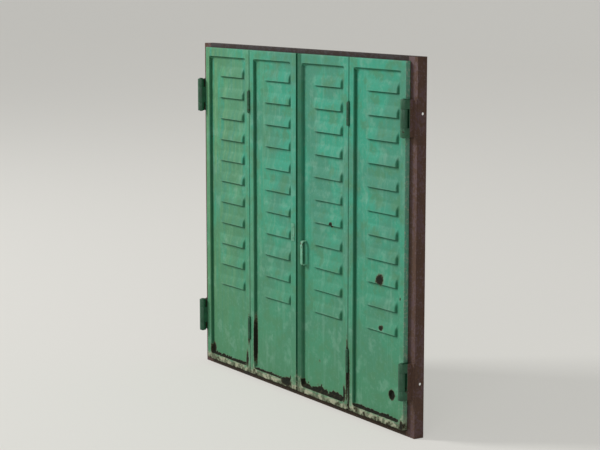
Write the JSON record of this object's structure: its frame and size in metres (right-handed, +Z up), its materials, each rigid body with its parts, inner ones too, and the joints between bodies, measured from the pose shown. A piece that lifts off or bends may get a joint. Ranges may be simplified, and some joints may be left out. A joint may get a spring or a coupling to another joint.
{
  "type": "window shutters",
  "caption": "Folding pressed-steel window shutters with louvre hoods: two hinged pairs of narrow leaves in an angle-iron frame, closed by sliding bolts.",
  "frame": {"origin": "middle of the sill's underside, at half the frame's depth", "axes": "+X to the right as seen from outside, +Y into the room, +Z up"},
  "size_m": [1.148, 0.0675, 1.029],
  "materials": {
    "leaf_enamel": "chalky weathered enamel",
    "fitting_enamel": "brushed enamel over steel",
    "hinge_enamel": "dark green enamel",
    "frame_primer": "matt red oxide primer",
    "rusty_sill": "rusted",
    "bare_steel": "dull, worn"
  },
  "bodies": {
    "frame": {"frame_left_jamb": "frame_primer", "frame_right_jamb": "frame_primer", "frame_head": "frame_primer", "frame_sill": "rusty_sill", "left_upper_jamb_hinge": "hinge_enamel", "left_upper_hinge_pin": "bare_steel", "left_lower_jamb_hinge": "hinge_enamel", "left_lower_hinge_pin": "bare_steel", "right_upper_jamb_hinge": "hinge_enamel", "right_upper_hinge_pin": "bare_steel", "right_lower_jamb_hinge": "hinge_enamel", "right_lower_hinge_pin": "bare_steel"},
    "outer_left": {"outer_left_leaf": "leaf_enamel", "outer_left_hinge_rivets": "fitting_enamel", "left_upper_leaf_hinge": "hinge_enamel", "left_upper_fold_hinge_outer": "hinge_enamel", "left_upper_fold_pin": "bare_steel", "left_lower_leaf_hinge": "hinge_enamel", "left_lower_fold_hinge_outer": "hinge_enamel", "left_lower_fold_pin": "bare_steel"},
    "inner_left": {"inner_left_leaf": "leaf_enamel", "inner_left_bolt_rivets": "bare_steel", "left_upper_fold_hinge_inner": "hinge_enamel", "left_upper_bolt_plate": "bare_steel", "left_lower_fold_hinge_inner": "hinge_enamel", "left_lower_bolt_plate": "bare_steel", "stile_plate": "fitting_enamel", "stile_plate_rivets": "fitting_enamel"},
    "left_upper_bolt": {"left_upper_bolt_bar": "bare_steel"},
    "left_lower_bolt": {"left_lower_bolt_bar": "bare_steel"},
    "outer_right": {"outer_right_leaf": "leaf_enamel", "outer_right_hinge_rivets": "fitting_enamel", "right_upper_leaf_hinge": "hinge_enamel", "right_upper_fold_hinge_outer": "hinge_enamel", "right_upper_fold_pin": "bare_steel", "right_lower_leaf_hinge": "hinge_enamel", "right_lower_fold_hinge_outer": "hinge_enamel", "right_lower_fold_pin": "bare_steel"},
    "inner_right": {"inner_right_leaf": "leaf_enamel", "inner_right_bolt_rivets": "bare_steel", "right_upper_fold_hinge_inner": "hinge_enamel", "right_upper_bolt_plate": "bare_steel", "right_lower_fold_hinge_inner": "hinge_enamel", "right_lower_bolt_plate": "bare_steel", "pull_handle": "fitting_enamel"},
    "right_upper_bolt": {"right_upper_bolt_bar": "bare_steel"},
    "right_lower_bolt": {"right_lower_bolt_bar": "bare_steel"}
  },
  "joints": [
    {"name": "outer_left_swing", "type": "hinge", "parent": "frame", "child": "outer_left", "pos_m": [-0.552, -0.0425, 0.517], "axis": [0, 0, -1], "range_deg": [0, 180]},
    {"name": "inner_left_fold", "type": "hinge", "parent": "outer_left", "child": "inner_left", "pos_m": [-0.272, -0.0325, 0.517], "axis": [0, 0, -1], "range_deg": [0, 180]},
    {"name": "left_upper_bolt_slide", "type": "slide", "parent": "inner_left", "child": "left_upper_bolt", "axis": [0, 0, 1], "range_m": [0, 0.015]},
    {"name": "left_lower_bolt_slide", "type": "slide", "parent": "inner_left", "child": "left_lower_bolt", "axis": [0, 0, -1], "range_m": [0, 0.015]},
    {"name": "outer_right_swing", "type": "hinge", "parent": "frame", "child": "outer_right", "pos_m": [0.552, -0.0425, 0.517], "axis": [0, 0, 1], "range_deg": [0, 180]},
    {"name": "inner_right_fold", "type": "hinge", "parent": "outer_right", "child": "inner_right", "pos_m": [0.272, -0.0325, 0.517], "axis": [0, 0, 1], "range_deg": [0, 180]},
    {"name": "right_upper_bolt_slide", "type": "slide", "parent": "inner_right", "child": "right_upper_bolt", "axis": [0, 0, 1], "range_m": [0, 0.015]},
    {"name": "right_lower_bolt_slide", "type": "slide", "parent": "inner_right", "child": "right_lower_bolt", "axis": [0, 0, -1], "range_m": [0, 0.015]}
  ]
}
